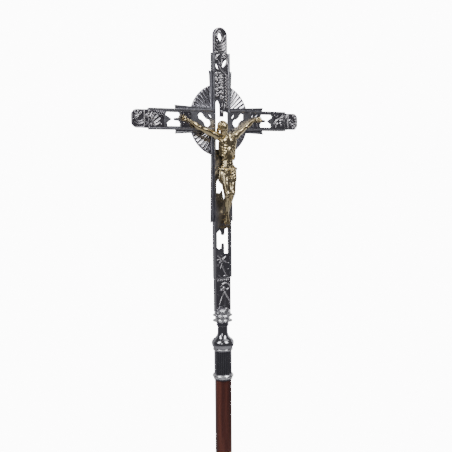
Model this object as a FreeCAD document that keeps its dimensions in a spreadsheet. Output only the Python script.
import FreeCAD, Part
import math
import os
import Sketcher

# Processional cross on a two-part wooden staff.
# Frame: origin at the middle of the staff's foot, +Z up the staff, the figure faces -Y.
# Distances called "front" are measured from the staff axis towards -Y.

os.makedirs("parts", exist_ok=True)

DIMENSIONS = {
    # running fit between a thread's two halves, fit inside one body, gap between two bodies
    "thread_clearance": 0.05,
    "inner_fit": 0.04,
    "body_gap": 0.3,
    "bore_end_play": 0.5,
    # staff
    "shaft_radius": 15.0,
    "ferrule_radius": 16.5,
    "ferrule_length": 60.0,
    "ferrule_floor": 4.0,
    "ferrule_edge": 0.8,
    "wear_disc_height": 2.5,
    "tip_radius": 9.0,
    "tip_shank_radius": 3.0,
    "tip_shank_length": 16.0,
    "pin_radius": 1.5,
    "pin_flush": 0.3,
    "foot_pin_height": 36.0,
    "coupling_pin_inset": 46.0,
    "barrel_pin_start": 9.5,
    "barrel_pin_height": 1384.0,
    # coupling between the two staff halves
    "coupling_height": 700.0,
    "coupling_radius": 17.0,
    "coupling_length": 62.0,
    "coupling_floor": 6.0,
    "coupling_washer_radius": 17.4,
    "coupling_washer_thickness": 2.0,
    "stud_radius": 6.0,
    "stud_reach": 19.0,
    "stud_hold": 24.0,
    "insert_wall": 3.0,
    "insert_depth": 28.0,
    "washer_bore_play": 0.5,
    # top of the staff
    "shoulder_height": 1366.0,
    "tenon_radius": 13.0,
    "lip_radius": 16.5,
    "lip_thickness": 1.9,
    "band_radius": 17.0,
    "band_thickness": 1.6,
    "base_ring_radius": 18.9,
    "base_ring_height": 7.0,
    "barrel_radius": 15.8,
    "barrel_top": 1419.4,
    "flute_count": 28,
    "flute_radius": 0.75,
    "flute_inset": 0.35,
    "flute_end": 1.5,
    "head_stud_radius": 5.0,
    "head_stud_reach": 16.0,
    "head_insert_depth": 24.0,
    # knop and collars
    "knop_ring_radius": 17.8,
    "knop_ring_thickness": 3.7,
    "knop_foot_radius": 17.0,
    "knop_waist_radius": 18.3,
    "knop_radius": 19.8,
    "knop_shoulder_radius": 15.1,
    "neck_radius": 9.2,
    "neck_top": 1463.4,
    "knop_waist_rise": 2.6,
    "knop_full_rise": 11.2,
    "knop_shoulder_rise": 17.0,
    "knop_neck_rise": 30.0,
    "shim_radius": 10.2,
    "shim_thickness": 1.0,
    "neck_ring_radius": 11.0,
    "neck_ring_height": 5.6,
    "collar_radius": 17.5,
    "collar_waist_radius": 13.4,
    "collar_edge": 1.1,
    "collar_height": 14.0,
    "calyx_radius": 14.7,
    "calyx_top_radius": 11.5,
    "calyx_height": 6.0,
    "tie_rod_radius": 2.6,
    "tie_rod_hold": 24.0,
    # cross: heights along the post and reaches along the arms
    "arm_height": 1827.0,
    "top_end": 1984.4,
    "top_step": 1941.0,
    "top_flare_end": 1911.0,
    "lower_flare_end": 1650.0,
    "lower_step": 1551.0,
    "arm_end": 175.0,
    "arm_step": 142.5,
    "arm_flare_end": 93.2,
    # cross: half widths
    "tier_half": 17.6,
    "bar_width": 2.8,
    "bar_bevel": 1.0,
    "finial_half": 15.2,
    "top_finial_half": 14.0,
    "eye_drop": 24.0,
    "eye_length": 17.0,
    "eye_arc": 10.0,
    "foot_half": 16.0,
    "flare_narrow": 20.6,
    "flare_wide": 24.0,
    "flare_rake": 1.2,
    "flare_gap": 0.6,
    # cross: layers, measured to the front
    "bar_back": -3.3,
    "bar_depth": 9.0,
    "plate_back": 1.8,
    "plate_thickness": 2.0,
    "flare_back": -0.6,
    "flare_thickness": 2.0,
    "disc_back": -4.9,
    "disc_thickness": 1.5,
    "disc_radius": 62.2,
    "disc_window_reach": 52.0,
    "disc_window_half": 15.0,
    "finial_depth": 5.0,
    "finial_corner": 9.5,
    "finial_lap": 12.0,
    "tab_half": 9.0,
    "tab_thickness": 2.0,
    "relief_thickness": 1.4,
    "relief_margin": 1.2,
    "relief_start": 6.0,
    "relief_arc": 22.0,
    "top_relief_rise": 37.0,
    "foot_relief_height": 54.0,
    "foot_relief_spring": 16.0,
    "rivet_spread": 5.0,
    "rivet_radius": 1.2,
    "rivet_head": 0.8,
    # cross: openings
    "slot_outer": 12.6,
    "slot_inner": 3.4,
    "wide_slot_start": 85.0,
    "wide_slot_end": 113.0,
    "long_slot_drop": 50.0,
    "bridge_drop": 16.0,
    "bridge_rise": 5.5,
    "leaf_slot_rise": 25.0,
    "leaf_slot_tip": 34.0,
    "legs_opening_low": 1690.0,
    "legs_opening_rise": 36.0,
    "legs_fork_rise": 15.0,
    "lower_opening_low": 1593.3,
    "lower_opening_rise": 45.6,
    "lower_bridge_low": 17.5,
    "lower_bridge_high": 35.2,
    "slit_height": 1919.5,
    "slit_long": 13.8,
    "slit_short": 9.3,
    "wide_slot_half": 11.2,
    "wedge_reach": 10.8,
    "wedge_half": 0.9,
    "tongue_reach": 11.4,
    "tongue_half": 1.9,
    "tongue_root_half": 2.6,
    "lobe_reach": 43.3,
    "lobe_rise": 6.2,
    "lobe_radius": 5.4,
    "inner_lobe_reach": 30.2,
    "inner_lobe_drop": 5.0,
    "inner_lobe_radius": 6.4,
    # foot socket
    "foot_back": -4.2,
    "foot_depth": 8.0,
    # figure
    "figure_height": 182.0,
    "hand_reach": 77.0,
    "hand_height": 1829.0,
    "hand_front": 7.0,
    "foot_nail_height": 1654.0,
    "toe_height": 1644.0,
    "nail_radius": 1.0,
    "nail_head_radius": 2.2,
    "nail_head_height": 1.2,
    "nail_grip": 9.5,
    "foot_nail_extra": 6.0,
    "nail_tail": 0.6,
    "nut_radius": 2.6,
    "nut_height": 1.8,
    "foot_rest_half": 8.0,
    "foot_rest_height": 4.0,
    "foot_rest_reach": 10.0,
}

doc = FreeCAD.newDocument("processional_cross")
sheet = doc.addObject("Spreadsheet::Sheet", "dims")


class Size:
    """A size kept both as a number and as the formula that binds it to the sheet."""

    def __init__(self, value, formula):
        self.value = float(value)
        self.formula = formula

    def __add__(self, other):
        other = as_size(other)
        return Size(self.value + other.value, f"({self.formula} + {other.formula})")

    def __sub__(self, other):
        other = as_size(other)
        return Size(self.value - other.value, f"({self.formula} - {other.formula})")

    def __mul__(self, factor):
        return Size(self.value * factor, f"({self.formula} * {factor})")

    def __neg__(self):
        return Size(-self.value, f"(0 - {self.formula})")

    __radd__ = __add__


def as_size(value):
    if isinstance(value, Size):
        return value
    return Size(value, f"({value})")


def fill_sheet():
    """Write every driving dimension to the sheet and return them as sizes."""
    sizes = {}
    for row, (alias, value) in enumerate(DIMENSIONS.items(), start=1):
        sheet.set(f"A{row}", alias)
        sheet.set(f"B{row}", str(value))
        sheet.setAlias(f"B{row}", alias)
        sizes[alias] = Size(value, f"dims.{alias}")
    return sizes


D = fill_sheet()
doc.recompute()
NODES = []


def node(piece, label):
    """Name a finished piece and list it for export."""
    piece.Label = label
    NODES.append(piece)
    return piece


def origin_feature(body, role):
    for feature in body.Origin.OriginFeatures:
        if feature.Role == role:
            return feature
    raise ValueError(role)


# ---------------------------------------------------------------- sketches

def new_sketch(body, plane, offset):
    """Sketch on an origin plane of its body, moved along the plane's normal."""
    sketch = body.newObject("Sketcher::SketchObject", "outline")
    sketch.AttachmentSupport = [(origin_feature(body, plane), "")]
    sketch.MapMode = "FlatFace"
    sketch.setExpression("AttachmentOffset.Base.z", as_size(offset).formula)
    return sketch


def constrain(sketch, constraint, formula):
    number = sketch.addConstraint(constraint)
    sketch.setExpression(f"Constraints[{number}]", formula)


def pin_point(sketch, edge, end, across, up):
    """Hold one end of an edge at its distances from the sketch's origin."""
    across = as_size(across)
    up = as_size(up)
    if across.value == 0:
        sketch.addConstraint(Sketcher.Constraint("PointOnObject", edge, end, -2))
    else:
        constraint = Sketcher.Constraint("DistanceX", -1, 1, edge, end, across.value)
        constrain(sketch, constraint, across.formula)
    if up.value == 0:
        sketch.addConstraint(Sketcher.Constraint("PointOnObject", edge, end, -1))
    else:
        constraint = Sketcher.Constraint("DistanceY", -1, 1, edge, end, up.value)
        constrain(sketch, constraint, up.formula)


def arc_between(start, end, radius):
    """Short arc from start to end. A positive radius bulges to the right of the way there."""
    chord = end - start
    half = chord.Length / 2
    reach = math.sqrt(max(radius * radius - half * half, 0))
    left = FreeCAD.Vector(-chord.y, chord.x, 0).normalize()
    side = 1 if radius > 0 else -1
    centre = (start + end) * 0.5 + left * (reach * side)
    angles = [math.atan2(point.y - centre.y, point.x - centre.x) for point in (start, end)]
    if side < 0:
        angles.reverse()
    if angles[1] < angles[0]:
        angles[1] += 2 * math.pi
    circle = Part.Circle(centre, FreeCAD.Vector(0, 0, 1), abs(radius))
    ends = (1, 2) if side > 0 else (2, 1)
    return Part.ArcOfCircle(circle, *angles), ends


def draw_loop(sketch, corners, arcs=None):
    """Closed loop through the corners. arcs gives the radius of an edge that is an arc."""
    arcs = arcs or {}
    points = [FreeCAD.Vector(as_size(x).value, as_size(y).value, 0) for x, y in corners]
    edges = []
    for number, start in enumerate(points):
        end = points[(number + 1) % len(points)]
        if number in arcs:
            curve, ends = arc_between(start, end, as_size(arcs[number]).value)
        else:
            curve = Part.LineSegment(start, end)
            ends = (1, 2)
        edges.append((sketch.addGeometry(curve, False), ends))
    for number, (edge, ends) in enumerate(edges):
        following, following_ends = edges[(number + 1) % len(edges)]
        joint = Sketcher.Constraint("Coincident", edge, ends[1], following, following_ends[0])
        sketch.addConstraint(joint)
        pin_point(sketch, edge, ends[0], *corners[number])
        if number in arcs:
            radius = as_size(arcs[number])
            if radius.value < 0:
                radius = -radius
            constrain(sketch, Sketcher.Constraint("Radius", edge, radius.value), radius.formula)


def draw_circle(sketch, across, up, radius):
    centre = FreeCAD.Vector(as_size(across).value, as_size(up).value, 0)
    circle = Part.Circle(centre, FreeCAD.Vector(0, 0, 1), as_size(radius).value)
    edge = sketch.addGeometry(circle, False)
    pin_point(sketch, edge, 3, across, up)
    radius = as_size(radius)
    constrain(sketch, Sketcher.Constraint("Radius", edge, radius.value), radius.formula)


# ---------------------------------------------------------------- kinds of piece

def new_body(name):
    return doc.addObject("PartDesign::Body", name)


def turned(label, corners, arcs=None):
    """Piece turned about the staff axis from (radius, height) corners."""
    body = new_body(label)
    sketch = new_sketch(body, "XZ_Plane", 0)
    draw_loop(sketch, corners, arcs)
    turn = body.newObject("PartDesign::Revolution", "turning")
    turn.Profile = sketch
    turn.ReferenceAxis = (sketch, ["V_Axis"])
    turn.Angle = 360
    doc.recompute()
    return body


def ring(label, inner, outer, low, high):
    """Plain turned ring with square edges."""
    return turned(label, [(inner, low), (outer, low), (outer, high), (inner, high)])


def rod(label, outer, low, high):
    """Plain round bar on the staff axis."""
    return turned(label, [(0, low), (outer, low), (outer, high), (0, high)])


def plate(label, corners, back, thickness, arcs=None):
    """Flat piece parallel to the cross, from (across, height) corners."""
    body = new_body(label)
    sketch = new_sketch(body, "XZ_Plane", back)
    draw_loop(sketch, corners, arcs)
    pad = body.newObject("PartDesign::Pad", "thickness")
    pad.Profile = sketch
    pad.setExpression("Length", as_size(thickness).formula)
    doc.recompute()
    return body


def cut(body, drawing, front, depth=None, plane="XZ_Plane"):
    """Cut the drawn shape out of a body, from its front inwards, and make sure it cut."""
    before = body.Shape.Volume
    sketch = new_sketch(body, plane, front)
    drawing(sketch)
    pocket = body.newObject("PartDesign::Pocket", "cut")
    pocket.Profile = sketch
    if depth is None:
        pocket.Type = "ThroughAll"
    else:
        pocket.setExpression("Length", as_size(depth).formula)
    doc.recompute()
    if body.Shape.Volume >= before:
        raise RuntimeError(f"nothing was cut from {body.Label}")
    return pocket


def cut_loop(body, corners, front, arcs=None, depth=None):
    cut(body, lambda sketch: draw_loop(sketch, corners, arcs), front, depth)


def cut_circle(body, across, up, radius, front, depth=None):
    cut(body, lambda sketch: draw_circle(sketch, across, up, radius), front, depth)


def primitive(kind, name, **sizes):
    """Part primitive with its sizes bound to the sheet."""
    piece = doc.addObject(f"Part::{kind}", name)
    for attribute, value in sizes.items():
        piece.setExpression(attribute, as_size(value).formula)
    return piece


def place(piece, across, front, up, axis=None, angle=0.0):
    axis = axis or FreeCAD.Vector(0, 0, 1)
    base = FreeCAD.Vector(as_size(across).value, -as_size(front).value, as_size(up).value)
    piece.Placement = FreeCAD.Placement(base, FreeCAD.Rotation(axis, angle))
    return piece


def gather(kind, label, pieces):
    """Compound or fusion of several pieces, as one node."""
    whole = doc.addObject(f"Part::{kind}", label)
    if kind == "Compound":
        whole.Links = pieces
    else:
        whole.Shapes = pieces
    return node(whole, label)


def cross_pin(name, up, length):
    """Round pin that runs through the staff from back to front."""
    pin = primitive("Cylinder", name, Radius=D["pin_radius"], Height=length)
    return place(pin, 0, length * -0.5, up, FreeCAD.Vector(1, 0, 0), 90)


# ---------------------------------------------------------------- staff, lower half

def staff_foot():
    """Ferrule with a flat steel wear disc screwed into the foot of the staff."""
    disc_top = D["wear_disc_height"]
    floor_top = disc_top + D["ferrule_floor"]
    shank_top = disc_top + D["tip_shank_length"]
    bore = D["tip_shank_radius"] + D["inner_fit"]
    disc = turned("foot_wear_disc", [
        (0, 0),
        (D["tip_radius"], 0),
        (D["tip_radius"], disc_top),
        (D["tip_shank_radius"], disc_top),
        (D["tip_shank_radius"], shank_top),
        (0, shank_top),
    ])
    node(disc, "foot_wear_disc")
    edge = D["ferrule_edge"]
    inside = D["shaft_radius"] + D["inner_fit"]
    ferrule = turned("foot_ferrule", [
        (bore, disc_top),
        (D["ferrule_radius"] - edge, disc_top),
        (D["ferrule_radius"], disc_top + edge),
        (D["ferrule_radius"], D["ferrule_length"] - edge),
        (D["ferrule_radius"] - edge, D["ferrule_length"]),
        (inside, D["ferrule_length"]),
        (inside, floor_top),
        (bore, floor_top),
    ])
    pin_hole(ferrule, D["foot_pin_height"])
    node(ferrule, "foot_ferrule")
    pin = cross_pin("foot_pin", D["foot_pin_height"], D["ferrule_radius"] * 2 - D["pin_flush"])
    node(pin, "foot_pin")


def pin_hole(body, up):
    """Round hole through a staff piece from front to back."""
    front = D["coupling_radius"] * 2
    cut_circle(body, 0, up, D["pin_radius"] + D["inner_fit"], front)


def lower_shaft():
    """Lower wooden pole, bored at both ends."""
    low = D["wear_disc_height"] + D["ferrule_floor"] + D["inner_fit"]
    high = D["coupling_height"] - D["coupling_floor"] - D["inner_fit"]
    pilot = D["tip_shank_radius"] + D["inner_fit"]
    pilot_top = D["wear_disc_height"] + D["tip_shank_length"] + D["bore_end_play"]
    insert = D["stud_radius"] + D["thread_clearance"] + D["insert_wall"] + D["inner_fit"]
    insert_low = D["coupling_height"] - D["insert_depth"] - D["bore_end_play"]
    shaft = turned("lower_shaft", [
        (pilot, low),
        (D["shaft_radius"], low),
        (D["shaft_radius"], high),
        (insert, high),
        (insert, insert_low),
        (0, insert_low),
        (0, pilot_top),
        (pilot, pilot_top),
    ])
    pin_hole(shaft, D["foot_pin_height"])
    pin_hole(shaft, D["coupling_height"] - D["coupling_pin_inset"])
    node(shaft, "lower_shaft")


def coupling_sleeve(label, face, sense, bore):
    """Sleeve with a floor at the joint face; sense is -1 below the joint and 1 above it."""
    edge = D["ferrule_edge"] * sense
    inside = D["shaft_radius"] + D["inner_fit"]
    end = face + D["coupling_length"] * sense
    floor = face + D["coupling_floor"] * sense
    sleeve = turned(label, [
        (bore, face),
        (D["coupling_radius"] - D["ferrule_edge"], face),
        (D["coupling_radius"], face + edge),
        (D["coupling_radius"], end - edge),
        (D["coupling_radius"] - D["ferrule_edge"], end),
        (inside, end),
        (inside, floor),
        (bore, floor),
    ])
    pin_hole(sleeve, face + D["coupling_pin_inset"] * sense)
    return node(sleeve, label)


def coupling():
    """Screwed joint between the two halves of the staff, with its loose washer."""
    face = D["coupling_height"]
    thread = D["stud_radius"] + D["thread_clearance"]
    insert_radius = thread + D["insert_wall"]
    coupling_sleeve("coupling_socket", face, -1, insert_radius + D["inner_fit"])
    insert = ring("socket_insert", thread, insert_radius, face - D["insert_depth"], face)
    node(insert, "socket_insert")
    pin_length = D["coupling_radius"] * 2 - D["pin_flush"]
    socket_pin = cross_pin("socket_pin", face - D["coupling_pin_inset"], pin_length)
    node(socket_pin, "socket_pin")
    washer_low = face + D["body_gap"]
    washer_high = washer_low + D["coupling_washer_thickness"]
    washer_bore = D["stud_radius"] + D["washer_bore_play"]
    washer = ring("coupling_washer", washer_bore, D["coupling_washer_radius"], washer_low, washer_high)
    node(washer, "coupling_washer")
    upper_face = washer_high + D["body_gap"]
    coupling_sleeve("coupling_plug", upper_face, 1, D["stud_radius"] + D["inner_fit"])
    stud = rod("coupling_stud", D["stud_radius"], face - D["stud_reach"], upper_face + D["stud_hold"])
    node(stud, "coupling_stud")
    plug_pin = cross_pin("plug_pin", upper_face + D["coupling_pin_inset"], pin_length)
    node(plug_pin, "plug_pin")
    return upper_face


# ---------------------------------------------------------------- staff, upper half

def upper_shaft(upper_face):
    """Upper wooden pole, with a thinner tenon under the barrel."""
    low = upper_face + D["coupling_floor"] + D["inner_fit"]
    stud = D["stud_radius"] + D["inner_fit"]
    stud_top = upper_face + D["stud_hold"] + D["bore_end_play"]
    insert = D["head_stud_radius"] + D["thread_clearance"] + D["insert_wall"] + D["inner_fit"]
    insert_low = D["barrel_top"] - D["head_insert_depth"] - D["bore_end_play"]
    shaft = turned("upper_shaft", [
        (stud, low),
        (D["shaft_radius"], low),
        (D["shaft_radius"], D["shoulder_height"]),
        (D["tenon_radius"], D["shoulder_height"]),
        (D["tenon_radius"], D["barrel_top"]),
        (insert, D["barrel_top"]),
        (insert, insert_low),
        (0, insert_low),
        (0, stud_top),
        (stud, stud_top),
    ])
    pin_hole(shaft, upper_face + D["coupling_pin_inset"])
    hidden_pin_hole(shaft)
    node(shaft, "upper_shaft")


def hidden_pin_hole(body):
    """Blind hole from the back for the pin that holds the barrel."""
    radius = D["pin_radius"] + D["inner_fit"]
    cut_circle(body, 0, D["barrel_pin_height"], radius, -D["barrel_pin_start"])


def barrel_fittings():
    """Rings and fluted barrel that cover the tenon, and the insert inside it."""
    bore = D["tenon_radius"] + D["inner_fit"]
    lip_top = D["shoulder_height"] + D["lip_thickness"]
    band_top = lip_top + D["band_thickness"]
    ring_top = band_top + D["base_ring_height"]
    node(ring("lip_ring", bore, D["lip_radius"], D["shoulder_height"], lip_top), "lip_ring")
    node(ring("bright_band", bore, D["band_radius"], lip_top, band_top), "bright_band")
    base_ring = turned("barrel_base_ring", [
        (bore, band_top),
        (D["band_radius"], band_top),
        (D["base_ring_radius"], band_top + D["base_ring_height"] * 0.35),
        (D["base_ring_radius"], band_top + D["base_ring_height"] * 0.6),
        (D["barrel_radius"] + 0.3, ring_top),
        (bore, ring_top),
    ], {1: 5.0, 3: 4.5})
    node(base_ring, "barrel_base_ring")
    barrel = ring("fluted_barrel", bore, D["barrel_radius"], ring_top, D["barrel_top"])
    flute_barrel(barrel, ring_top)
    hidden_pin_hole(barrel)
    node(barrel, "fluted_barrel")
    thread = D["head_stud_radius"] + D["thread_clearance"]
    insert_low = D["barrel_top"] - D["head_insert_depth"]
    insert = ring("head_insert", thread, thread + D["insert_wall"], insert_low, D["barrel_top"])
    node(insert, "head_insert")
    barrel_pin()


def flute_barrel(barrel, low):
    """Shallow upright flutes all round the barrel."""
    sketch = new_sketch(barrel, "XY_Plane", low + D["flute_end"])
    draw_circle(sketch, D["barrel_radius"] + D["flute_inset"], 0, D["flute_radius"])
    flute = barrel.newObject("PartDesign::Pocket", "flute")
    flute.Profile = sketch
    flute.Reversed = True
    flute.setExpression("Length", f"dims.barrel_top - {low.formula} - 2 * dims.flute_end")
    before = barrel.Shape.Volume
    doc.recompute()
    around = barrel.newObject("PartDesign::PolarPattern", "flutes")
    around.Originals = [flute]
    around.Axis = (origin_feature(barrel, "Z_Axis"), [""])
    around.Angle = 360
    around.setExpression("Occurrences", "dims.flute_count")
    barrel.Tip = around
    doc.recompute()
    if barrel.Shape.Volume >= before:
        raise RuntimeError("the flutes cut nothing")


def barrel_pin():
    """Short blind pin from the back, through the barrel into the tenon."""
    length = D["barrel_radius"] - D["barrel_pin_start"] - 0.4
    pin = primitive("Cylinder", "barrel_pin", Radius=D["pin_radius"], Height=length)
    place(pin, 0, -(D["barrel_pin_start"] + length), D["barrel_pin_height"], FreeCAD.Vector(1, 0, 0), 90)
    node(pin, "barrel_pin")


# ---------------------------------------------------------------- knop and collars

def knop_and_collars():
    """Turned pieces between the staff and the cross, strung on one tie rod."""
    ring_low = D["barrel_top"] + D["body_gap"]
    ring_high = ring_low + D["knop_ring_thickness"]
    washer_bore = D["head_stud_radius"] + D["washer_bore_play"]
    edge = D["knop_ring_thickness"] * 0.35
    knop_ring = turned("knop_ring", [
        (washer_bore, ring_low),
        (D["knop_ring_radius"] - edge, ring_low),
        (D["knop_ring_radius"], ring_low + edge),
        (D["knop_ring_radius"], ring_high - edge),
        (D["knop_ring_radius"] - edge, ring_high),
        (washer_bore, ring_high),
    ], {1: edge, 3: edge})
    node(knop_ring, "knop_ring")
    bore = D["head_stud_radius"] + D["inner_fit"]
    foot = ring_high + D["body_gap"]
    node(knop(foot, bore), "knop")
    neck_ring(bore)
    collar_low = D["neck_top"] + D["shim_thickness"] * 2 + D["neck_ring_height"]
    collar_top = double_ring(collar_low, bore)
    calyx_top = collar_top + D["calyx_height"]
    calyx_bore = D["tie_rod_radius"] + D["inner_fit"]
    calyx = turned("calyx", [
        (calyx_bore, collar_top),
        (D["calyx_radius"], collar_top),
        (D["calyx_top_radius"], calyx_top),
        (calyx_bore, calyx_top),
    ])
    node(calyx, "calyx")
    tie_rod = turned("tie_rod", [
        (0, D["barrel_top"] - D["head_stud_reach"]),
        (D["head_stud_radius"], D["barrel_top"] - D["head_stud_reach"]),
        (D["head_stud_radius"], collar_top),
        (D["tie_rod_radius"], collar_top),
        (D["tie_rod_radius"], calyx_top + D["tie_rod_hold"]),
        (0, calyx_top + D["tie_rod_hold"]),
    ])
    node(tie_rod, "tie_rod")
    return calyx_top


def knop(foot, bore):
    """Bell-shaped knop: full at the bottom, drawn in to a narrow neck."""
    return turned("knop", [
        (bore, foot),
        (D["knop_foot_radius"], foot),
        (D["knop_waist_radius"], foot + D["knop_waist_rise"]),
        (D["knop_radius"], foot + D["knop_full_rise"]),
        (D["knop_shoulder_radius"], foot + D["knop_shoulder_rise"]),
        (D["neck_radius"], foot + D["knop_neck_rise"]),
        (D["neck_radius"], D["neck_top"]),
        (bore, D["neck_top"]),
    ], {2: 13.0, 3: 9.0, 4: -17.0})


def neck_ring(bore):
    """Black ring on the neck between two bright shims."""
    low = D["neck_top"] + D["shim_thickness"]
    high = low + D["neck_ring_height"]
    neck = ring("neck_ring", bore, D["neck_ring_radius"], low, high)
    node(neck, "neck_ring")
    shims = [
        ring("lower_shim", bore, D["shim_radius"], D["neck_top"], low),
        ring("upper_shim", bore, D["shim_radius"], high, high + D["shim_thickness"]),
    ]
    gather("Compound", "neck_shims", shims)


def double_ring(low, bore):
    """Collar with two sharp-edged discs and a waist between them."""
    top = low + D["collar_height"]
    half_edge = D["collar_edge"] * 0.5
    lower_disc = low + D["collar_height"] * 0.17
    upper_disc = low + D["collar_height"] * 0.87
    waist = D["collar_waist_radius"]
    collar = turned("double_ring_collar", [
        (bore, low),
        (waist - 1.5, low),
        (D["collar_radius"], lower_disc - half_edge),
        (D["collar_radius"], lower_disc + half_edge),
        (waist, lower_disc + 3.2),
        (waist, upper_disc - 3.2),
        (D["collar_radius"], upper_disc - half_edge),
        (D["collar_radius"], upper_disc + half_edge),
        (D["calyx_radius"], top),
        (bore, top),
    ], {3: -5.0, 5: -5.0})
    node(collar, "double_ring_collar")
    return top


# ---------------------------------------------------------------- cross

def core_plate():
    """Openwork plate of the cross, set between the bars."""
    half = D["tier_half"] - D["bar_width"] - D["inner_fit"]
    arm_low = D["arm_height"] - half
    arm_high = D["arm_height"] + half
    reach = D["arm_step"]
    body = plate("core_plate", [
        (-half, D["lower_step"]),
        (-half, arm_low),
        (-reach, arm_low),
        (-reach, arm_high),
        (-half, arm_high),
        (-half, D["top_step"]),
        (half, D["top_step"]),
        (half, arm_high),
        (reach, arm_high),
        (reach, arm_low),
        (half, arm_low),
        (half, D["lower_step"]),
    ], D["plate_back"], D["plate_thickness"])
    front = D["plate_back"] + D["plate_thickness"] + 1
    post_openings(body, front)
    for side in (-1, 1):
        arm_openings(body, front, side)
    nail_holes(body, front)
    for joint in rivet_joints():
        rivet_holes(body, joint)
    node(body, "core_plate")


def post_openings(body, front):
    """H-shaped openings in the post, a forked one behind the legs and two leaf slits."""
    outer = D["slot_outer"]
    inner = D["slot_inner"]
    crossing = D["arm_height"]
    slot_low = crossing - D["long_slot_drop"]
    bridge_low = crossing - D["bridge_drop"]
    bridge_high = crossing + D["bridge_rise"]
    leaf_high = crossing + D["leaf_slot_tip"]
    cut_loop(body, [
        (-outer, slot_low),
        (-inner, slot_low),
        (-inner, bridge_low),
        (inner + 1, bridge_low),
        (inner + 1, slot_low + 4),
        (outer, slot_low + 4),
        (outer, crossing + 13),
        (inner + 1, crossing + 14.5),
        (inner + 0.4, bridge_high),
        (-inner - 0.6, bridge_high),
        (-inner - 0.6, crossing + D["leaf_slot_rise"]),
        (-outer + 3.2, leaf_high),
        (-outer, leaf_high - 5),
    ], front, {1: 40.0, 10: 14.0})
    legs_low = D["legs_opening_low"]
    legs_high = legs_low + D["legs_opening_rise"]
    fork = legs_low + D["legs_fork_rise"]
    cut_loop(body, [
        (-outer, fork - 3),
        (-4.6, fork - 4),
        (-2.6, fork),
        (-0.6, fork),
        (2.4, legs_low),
        (outer, legs_low),
        (outer, legs_high - 3),
        (-8.0, legs_high),
        (-outer, legs_high - 6),
    ], front, {2: -1.3})
    low = D["lower_opening_low"]
    high = low + D["lower_opening_rise"]
    bridge_low = low + D["lower_bridge_low"]
    bridge_high = low + D["lower_bridge_high"]
    cut_loop(body, [
        (-outer, low + 12),
        (-8.0, low + 8.6),
        (-inner, low + 10),
        (-inner + 0.8, bridge_low),
        (inner - 0.8, bridge_low),
        (inner - 0.6, low),
        (outer, low),
        (outer, high - 3.6),
        (8.0, high),
        (inner + 0.6, high - 3.6),
        (inner, bridge_high),
        (-inner, bridge_high),
        (-inner - 0.6, high - 5.6),
        (-7.0, high - 3.0),
        (-outer, high - 7.6),
    ], front, {3: -2.9, 7: 5.0, 8: 6.0, 10: -3.7})
    leaf_slits(body, front)


def leaf_slits(body, front):
    """The two pointed slits between the leaves near the top of the post."""
    middle = D["slit_height"]
    leaf_slit(body, front, (-11.4, middle + 3.5), (-6.8, middle - 6.5), D["slit_short"])
    leaf_slit(body, front, (11.2, middle + 11.0), (1.8, middle - 2.5), D["slit_long"])


def leaf_slit(body, front, start, end, radius):
    """Pointed slit between two shallow arcs."""
    cut_loop(body, [start, end], front, {0: radius, 1: radius})


def arm_openings(body, front, side):
    """Wide opening with two tongues, and the slanted double-lobed one near the post."""
    up = D["arm_height"]
    start = D["wide_slot_start"]
    end = D["wide_slot_end"]
    half = D["wide_slot_half"]
    wedge = end - D["wedge_reach"]
    tongue = start + D["tongue_reach"]
    tip = D["tongue_half"]
    root = D["tongue_root_half"]
    corners = [
        (start, up - half),
        (end - 3.5, up - half),
        (end - 3.2, up - 6.0),
        (wedge, up - D["wedge_half"]),
        (wedge, up + D["wedge_half"]),
        (end, up + 7.0),
        (end - 2.5, up + half),
        (start + 2.0, up + half),
        (start, up + 7.5),
        (start + 3.0, up + root),
        (tongue, up + tip),
        (tongue, up - tip),
        (start + 3.0, up - root),
        (start - 0.6, up - 6.0),
    ]
    cut_loop(body, mirrored(corners, side), front)
    outer_lobe = (D["lobe_reach"] * side, up + D["lobe_rise"])
    inner_lobe = (D["inner_lobe_reach"] * side, up - D["inner_lobe_drop"])
    cut_circle(body, *outer_lobe, D["lobe_radius"], front)
    cut_circle(body, *inner_lobe, D["inner_lobe_radius"], front)
    waist = [(45.6, up + 3.2), (32.4, up - 8.6), (27.4, up - 2.2), (40.6, up + 9.6)]
    cut_loop(body, mirrored(waist, side), front)
    slit = [(27.6, up + 10.4), (20.4, up + 2.4)]
    cut_loop(body, mirrored(slit, side), front, {0: 14.0, 1: 14.0})


def mirrored(corners, side):
    """The corners on one side of the post; on the left they run the other way round."""
    moved = [(as_size(across) * side, up) for across, up in corners]
    if side < 0:
        moved.reverse()
    return moved


def nail_holes(body, front):
    radius = D["nail_radius"] + D["inner_fit"]
    for side in (-1, 1):
        cut_circle(body, D["hand_reach"] * side, D["hand_height"], radius, front)
    cut_circle(body, 0, D["foot_nail_height"], radius, front)


def bar_section(inner, outer, back, front, step):
    """Bar section (depth, across): square outside, bevelled inside down to the plate."""
    bevel = D["bar_bevel"]
    sense = 1 if outer.value > inner.value else -1
    return [(back, inner), (back, outer), (front, outer), (front, inner + bevel * sense), (step, inner)]


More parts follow.
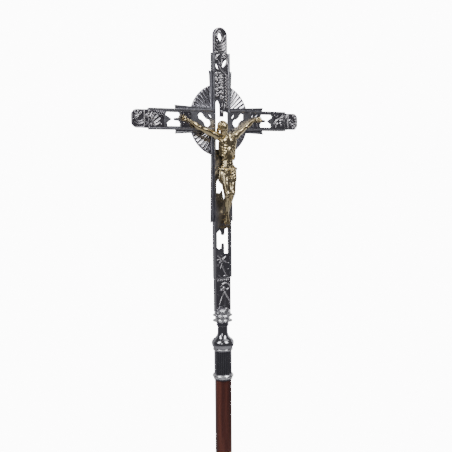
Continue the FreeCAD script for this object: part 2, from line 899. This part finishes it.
def bars():
    """Raised edge bars: a long pair on the post and a pair on each arm."""
    back = -D["bar_back"]
    front = -D["bar_back"] - D["bar_depth"]
    step = -D["plate_back"] - D["plate_thickness"]
    outer = D["tier_half"]
    inner = outer - D["bar_width"]
    length = D["top_step"] - D["lower_step"]
    post = []
    for side in (-1, 1):
        section = bar_section(inner * side, outer * side, back, front, step)
        swapped = [(across, depth) for depth, across in section]
        bar = extrusion("post_bar", "XY_Plane", D["lower_step"], length, swapped)
        plate_notch(bar, side)
        post.append(bar)
    gather("Compound", "post_bars", post)
    length = D["arm_step"] - outer - D["inner_fit"]
    for name, start in (("left", -D["arm_step"]), ("right", outer + D["inner_fit"])):
        pair = []
        for side in (-1, 1):
            low = D["arm_height"] + inner * side
            high = D["arm_height"] + outer * side
            section = bar_section(low, high, back, front, step)
            pair.append(extrusion("arm_bar", "YZ_Plane", start, length, section))
        gather("Compound", f"{name}_arm_bars", pair)


def extrusion(name, plane, start, length, section):
    """Straight bar of a constant section, square to an origin plane."""
    body = new_body(name)
    sketch = new_sketch(body, plane, start)
    draw_loop(sketch, section)
    pad = body.newObject("PartDesign::Pad", "length")
    pad.Profile = sketch
    pad.setExpression("Length", as_size(length).formula)
    doc.recompute()
    return body


def plate_notch(bar, side):
    """Notch in a post bar that lets the arm of the core plate through."""
    fit = D["inner_fit"]
    half = D["tier_half"] - D["bar_width"]
    near = (half - 1) * side
    far = (D["tier_half"] + 1) * side
    low = D["arm_height"] - half
    high = D["arm_height"] + half
    depth = D["plate_thickness"] + fit * 2
    front = D["plate_back"] + D["plate_thickness"] + fit
    cut_loop(bar, [(near, low), (far, low), (far, high), (near, high)], front, None, depth)


def flares():
    """Flared outer strips: a pair on each of the four branches."""
    inner = D["tier_half"] + D["inner_fit"]
    narrow = D["flare_narrow"]
    wide = D["flare_wide"]
    rake = D["flare_rake"]
    arm = D["arm_height"]
    branches = {
        "top": (inner, D["top_flare_end"] - arm, 1),
        "lower": (inner, arm - D["lower_flare_end"], -1),
        "left": (narrow + D["flare_gap"], D["arm_flare_end"], -1),
        "right": (narrow + D["flare_gap"], D["arm_flare_end"], 1),
    }
    for name, (start, end, sense) in branches.items():
        strips = []
        for side in (-1, 1):
            reach = [start * sense, end * sense - rake * sense, end * sense, start * sense]
            width = [inner * side, inner * side, wide * side, narrow * side]
            if name in ("top", "lower"):
                corners = [(width[i], arm + reach[i]) for i in range(4)]
            else:
                corners = [(reach[i], arm + width[i]) for i in range(4)]
            strips.append(plate("flare", corners, D["flare_back"], D["flare_thickness"]))
        gather("Compound", f"{name}_flares", strips)


def ray_disc():
    """Glory disc behind the crossing, cut open in a cross behind the openwork."""
    body = new_body("ray_disc")
    sketch = new_sketch(body, "XZ_Plane", D["disc_back"])
    draw_circle(sketch, 0, D["arm_height"], D["disc_radius"])
    pad = body.newObject("PartDesign::Pad", "thickness")
    pad.Profile = sketch
    pad.setExpression("Length", D["disc_thickness"].formula)
    doc.recompute()
    arm = D["arm_height"]
    half = D["disc_window_half"]
    reach = D["disc_window_reach"]
    cut_loop(body, [
        (-half, arm - reach),
        (half, arm - reach),
        (half, arm - half),
        (reach, arm - half),
        (reach, arm + half),
        (half, arm + half),
        (half, arm + reach),
        (-half, arm + reach),
        (-half, arm + half),
        (-reach, arm + half),
        (-reach, arm - half),
        (-half, arm - half),
    ], 0)
    node(body, "ray_disc")


def finials():
    """Rounded cast ends of the three upper branches, each with a tab behind the plate."""
    fit = D["inner_fit"]
    arm = D["arm_height"]
    corner = D["finial_corner"]
    start = D["arm_step"] + fit
    half = D["finial_half"]
    for name, side in (("left", -1), ("right", 1)):
        outline = [
            (start, arm - half),
            (D["arm_end"] - corner, arm - half),
            (D["arm_end"], arm - half + corner),
            (D["arm_end"], arm + half - corner),
            (D["arm_end"] - corner, arm + half),
            (start, arm + half),
        ]
        tab = [
            (D["arm_step"] - D["finial_lap"], arm - D["tab_half"]),
            (start + 2, arm - D["tab_half"]),
            (start + 2, arm + D["tab_half"]),
            (D["arm_step"] - D["finial_lap"], arm + D["tab_half"]),
        ]
        label = f"{name}_finial"
        arcs = {1: corner * 1.02, 3: corner * 1.02}
        if side < 0:
            outline = mirrored(outline, side)
            tab = mirrored(tab, side)
        body = cast_end(label, outline, arcs, tab, D["bar_back"], D["finial_depth"])
        rivet_holes(body, name)
        node(body, label)
    top_finial()


def top_finial():
    """Arched finial with a pointed eye through it."""
    half = D["top_finial_half"]
    low = D["top_step"] + D["inner_fit"]
    spring = D["top_end"] - half
    outline = [(-half, low), (half, low), (half, spring), (0, D["top_end"]), (-half, spring)]
    tab_low = D["top_step"] - D["finial_lap"]
    tab = [
        (-D["tab_half"], tab_low),
        (D["tab_half"], tab_low),
        (D["tab_half"], low + 2),
        (-D["tab_half"], low + 2),
    ]
    arcs = {2: half * 1.02, 3: half * 1.02}
    body = cast_end("top_finial", outline, arcs, tab, D["bar_back"], D["finial_depth"])
    eye_low = D["top_end"] - D["eye_drop"]
    eye = [(0.8, eye_low), (-0.8, eye_low + D["eye_length"])]
    arc = D["eye_arc"]
    cut_loop(body, eye, D["bar_back"] + D["finial_depth"] + 1, {0: arc, 1: arc})
    rivet_holes(body, "top")
    node(body, "top_finial")


def cast_end(label, outline, arcs, tab, back, depth):
    """Cast end piece with a thinner tab that lies behind the core plate."""
    body = plate(label, outline, back, depth, arcs)
    sketch = new_sketch(body, "XZ_Plane", D["plate_back"] - D["inner_fit"] - D["tab_thickness"])
    draw_loop(sketch, tab)
    pad = body.newObject("PartDesign::Pad", "tab")
    pad.Profile = sketch
    pad.setExpression("Length", D["tab_thickness"].formula)
    doc.recompute()
    return body


def rivet_places(across, up, spread_across):
    """The two rivets of a joint, side by side across the branch."""
    spread = D["rivet_spread"]
    across = as_size(across)
    if spread_across:
        return [(across + spread, up), (across - spread, up)]
    return [(across, up + spread), (across, up - spread)]


def rivet_joints():
    """Every riveted joint: middle of its two rivets, and whether they lie side by side."""
    inset = D["finial_lap"] * 0.5
    return {
        "left": (inset - D["arm_step"], D["arm_height"], False),
        "right": (D["arm_step"] - inset, D["arm_height"], False),
        "top": (0, D["top_step"] - inset, True),
        "foot": (0, D["lower_step"] + inset, True),
    }


def rivet_holes(body, joint):
    front = D["plate_back"] + D["plate_thickness"] + 2
    radius = D["rivet_radius"] + D["inner_fit"]
    for across, up in rivet_places(*rivet_joints()[joint]):
        cut_circle(body, across, up, radius, front)


def rivets():
    """Rivets that hold the end castings to the core plate: headed behind, filed flush in front."""
    back = D["plate_back"] - D["tab_thickness"] - D["inner_fit"]
    front = D["plate_back"] + D["plate_thickness"]
    head = D["rivet_head"]
    shanks = []
    for joint in rivet_joints().values():
        for across, up in rivet_places(*joint):
            length = front - back + head
            shank = primitive("Cylinder", "rivet", Radius=D["rivet_radius"], Height=length)
            shanks.append(place(shank, across, back - head, up, FreeCAD.Vector(1, 0, 0), 90))
    gather("Compound", "end_rivets", shanks)


def foot_socket(low):
    """Foot casting of the cross, tapped from below for the tie rod."""
    half = D["foot_half"]
    top = D["lower_step"] - D["inner_fit"]
    outline = [(-half, low), (half, low), (half, top), (-half, top)]
    tab = [
        (-D["tab_half"], top - 2),
        (D["tab_half"], top - 2),
        (D["tab_half"], D["lower_step"] + D["finial_lap"]),
        (-D["tab_half"], D["lower_step"] + D["finial_lap"]),
    ]
    body = cast_end("foot_socket", outline, None, tab, D["foot_back"], D["foot_depth"])
    bore = D["tie_rod_radius"] + D["inner_fit"]
    before = body.Shape.Volume
    sketch = new_sketch(body, "XY_Plane", low)
    draw_circle(sketch, 0, 0, bore)
    hole = body.newObject("PartDesign::Pocket", "tie_rod_bore")
    hole.Profile = sketch
    hole.Reversed = True
    hole.setExpression("Length", (D["tie_rod_hold"] + 1).formula)
    doc.recompute()
    if body.Shape.Volume >= before:
        raise RuntimeError("the tie rod bore cut nothing")
    rivet_holes(body, "foot")
    node(body, "foot_socket")


def reliefs():
    """Cast relief panels soldered to the front of the plate and of the foot."""
    front = D["plate_back"] + D["plate_thickness"] + D["inner_fit"]
    thick = D["relief_thickness"]
    arm = D["arm_height"]
    inside = D["tier_half"] - D["bar_width"] - D["relief_margin"]
    for name, side in (("left", -1), ("right", 1)):
        near = D["wide_slot_end"] + D["relief_start"]
        far = D["arm_step"] - 1
        middle = (near + far) * 0.5
        leafy = [(near, arm), (middle, arm - inside), (far, arm - inside + 1)]
        leafy += [(far, arm + inside - 1), (middle, arm + inside)]
        bow = D["relief_arc"]
        arcs = {0: bow, 4: bow} if side > 0 else {3: bow, 4: bow}
        panel = plate(f"{name}_relief", mirrored(leafy, side), front, thick, arcs)
        node(panel, f"{name}_relief")
    top_relief(front, thick, inside)
    low = D["lower_opening_low"] - 3
    foot = D["lower_step"] + 2
    panel = plate("lower_relief", [(-inside, foot), (inside, foot), (inside, low), (-inside, low)],
                  front, thick, {2: -18.0})
    node(panel, "lower_relief")
    base = D["foot_back"] + D["foot_depth"] + D["inner_fit"]
    sill = D["lower_step"] - D["foot_relief_height"]
    spring = D["lower_step"] - D["foot_relief_spring"]
    half = D["foot_half"] - 2.5
    arch = [(-half, sill), (half, sill), (half, spring), (-half, spring)]
    panel = plate("foot_relief", arch, base, thick, {2: half * 1.02})
    node(panel, "foot_relief")


def top_relief(front, thick, inside):
    """Tall leafy panel above the crossing, pierced by the two leaf slits."""
    low = D["arm_height"] + D["top_relief_rise"]
    high = D["top_step"] - 1
    body = plate("top_relief", [(-inside, low), (inside, low), (inside, high), (-inside, high)],
                 front, thick)
    leaf_slits(body, front + thick + 1)
    node(body, "top_relief")


# ---------------------------------------------------------------- figure and its fastenings

def ball(name, across, front, up, wide, deep, tall):
    """Ellipsoid with its half sizes given across, front to back and up."""
    lump = primitive("Ellipsoid", name, Radius1=tall, Radius2=wide, Radius3=deep)
    return place(lump, across, front, up)


def limb(name, start, end, start_radius, end_radius):
    """Tapered round limb between two points (across, front, up)."""
    first = FreeCAD.Vector(start[0].value, -start[1].value, start[2].value)
    last = FreeCAD.Vector(end[0].value, -end[1].value, end[2].value)
    squares = [f"({a.formula} - {b.formula})^2" for a, b in zip(start, end)]
    length = Size((last - first).Length, f"sqrt({' + '.join(squares)})")
    cone = primitive("Cone", name, Radius1=start_radius, Radius2=end_radius, Height=length)
    turn = FreeCAD.Rotation(FreeCAD.Vector(0, 0, 1), last - first)
    cone.Placement = FreeCAD.Placement(first, turn)
    knob = primitive("Sphere", name, Radius=end_radius)
    place(knob, *end)
    return [cone, knob]


def figure():
    """Crucified figure: one casting for head, trunk and legs, and two arms cast apart."""
    unit = D["figure_height"]
    toe = D["toe_height"]

    def at(across, front, up):
        """Point given in parts of the figure's height, measured from the toes."""
        return (unit * across, unit * front, toe + unit * up)

    neck = at(-0.012, 0.080, 0.862)
    chest = at(0.0, 0.092, 0.762)
    waist = at(0.006, 0.100, 0.640)
    hips = at(0.0, 0.098, 0.530)
    pieces = [
        ball("head", *at(-0.035, 0.102, 0.935), unit * 0.042, unit * 0.050, unit * 0.060),
        ball("chest", *chest, unit * 0.092, unit * 0.056, unit * 0.115),
        ball("waist", *waist, unit * 0.066, unit * 0.046, unit * 0.090),
        ball("hips", *hips, unit * 0.085, unit * 0.056, unit * 0.075),
    ]
    pieces += limb("neck", neck, at(-0.026, 0.094, 0.910), unit * 0.030, unit * 0.026)
    for side in (-1, 1):
        hip = at(0.042 * side, 0.096, 0.510)
        knee = at(0.028 * side + 0.012, 0.126, 0.325)
        ankle = at(0.012 * side, 0.060, 0.100)
        toes = at(0.020 * side - 0.004, 0.070, 0.018)
        pieces += limb("thigh", hip, knee, unit * 0.046, unit * 0.031)
        pieces += limb("shin", knee, ankle, unit * 0.030, unit * 0.017)
        pieces += limb("foot", ankle, toes, unit * 0.019, unit * 0.013)
    gather("MultiFuse", "corpus_body", pieces)
    for name, side in (("left", -1), ("right", 1)):
        shoulder = at(0.103 * side, 0.076, 0.852)
        elbow = at(0.262 * side, 0.052, 0.924)
        hand = (D["hand_reach"] * side, D["hand_front"], D["hand_height"])
        arm = [ball("shoulder", *shoulder, unit * 0.028, unit * 0.028, unit * 0.028)]
        arm += limb("upper_arm", shoulder, elbow, unit * 0.027, unit * 0.020)
        arm += limb("forearm", elbow, hand, unit * 0.021, unit * 0.014)
        gather("MultiFuse", f"corpus_{name}_arm", arm)


def foot_rest():
    """Small bracket that the feet stand on."""
    front = D["plate_back"] + D["plate_thickness"] + D["inner_fit"]
    half = D["foot_rest_half"]
    top = D["toe_height"] - 0.5
    low = top - D["foot_rest_height"]
    outline = [(-half + 2, low), (half - 2, low), (half, top), (-half, top)]
    node(plate("foot_rest", outline, front, D["foot_rest_reach"]), "foot_rest")


def nails():
    """Nails through the hands and feet, and the nuts that hold them behind the plate."""
    back = D["plate_back"] - D["inner_fit"]
    places = [(D["hand_reach"] * -1, D["hand_height"]), (D["hand_reach"], D["hand_height"])]
    places.append((as_size(0), D["foot_nail_height"]))
    grips = [D["nail_grip"], D["nail_grip"], D["nail_grip"] + D["foot_nail_extra"]]
    pins = []
    nuts = []
    for (across, up), grip in zip(places, grips):
        start = back - D["nut_height"] - D["nail_tail"]
        shank = primitive("Cylinder", "nail_shank", Radius=D["nail_radius"], Height=grip - start)
        place(shank, across, start, up, FreeCAD.Vector(1, 0, 0), 90)
        head = primitive("Cone", "nail_head", Radius1=D["nail_head_radius"],
                         Radius2=D["nail_head_radius"] * 0.6, Height=D["nail_head_height"])
        place(head, across, grip, up, FreeCAD.Vector(1, 0, 0), 90)
        nail = doc.addObject("Part::Fuse", "nail")
        nail.Base = shank
        nail.Tool = head
        pins.append(nail)
        nuts.append(nail_nut(across, up, back - D["nut_height"]))
    gather("Compound", "corpus_nails", pins)
    gather("Compound", "nail_nuts", nuts)


def nail_nut(across, up, back):
    """Small hexagonal nut on the back of the plate."""
    corners = []
    for number in range(6):
        angle = math.radians(60 * number)
        corners.append((across + D["nut_radius"] * math.cos(angle), up + D["nut_radius"] * math.sin(angle)))
    body = plate("nail_nut", corners, back, D["nut_height"])
    cut_circle(body, across, up, D["nail_radius"] + D["inner_fit"], back + D["nut_height"] + 1)
    return body


# ---------------------------------------------------------------- whole cross

def build():
    staff_foot()
    lower_shaft()
    upper_face = coupling()
    upper_shaft(upper_face)
    barrel_fittings()
    calyx_top = knop_and_collars()
    core_plate()
    bars()
    flares()
    ray_disc()
    finials()
    foot_socket(calyx_top)
    rivets()
    reliefs()
    figure()
    foot_rest()
    nails()


def check_document():
    """Stop if any object failed to compute or any piece has no valid solid."""
    for item in doc.Objects:
        if "Invalid" in item.State or "Error" in item.State:
            raise RuntimeError(f"{item.Label} did not compute: {item.State}")
    labels = [piece.Label for piece in NODES]
    if len(set(labels)) != len(labels):
        raise RuntimeError("two pieces share a name")
    for piece in NODES:
        if piece.Shape.isNull() or not piece.Shape.isValid() or piece.Shape.Volume <= 0:
            raise RuntimeError(f"{piece.Label} is not a valid solid")


def export():
    for piece in NODES:
        piece.Shape.exportStep(f"parts/{piece.Label}.step")
        print(f"{piece.Label}: {len(piece.Shape.Solids)} solid(s), {piece.Shape.Volume:.0f} mm3")


build()
doc.recompute()
check_document()
export()
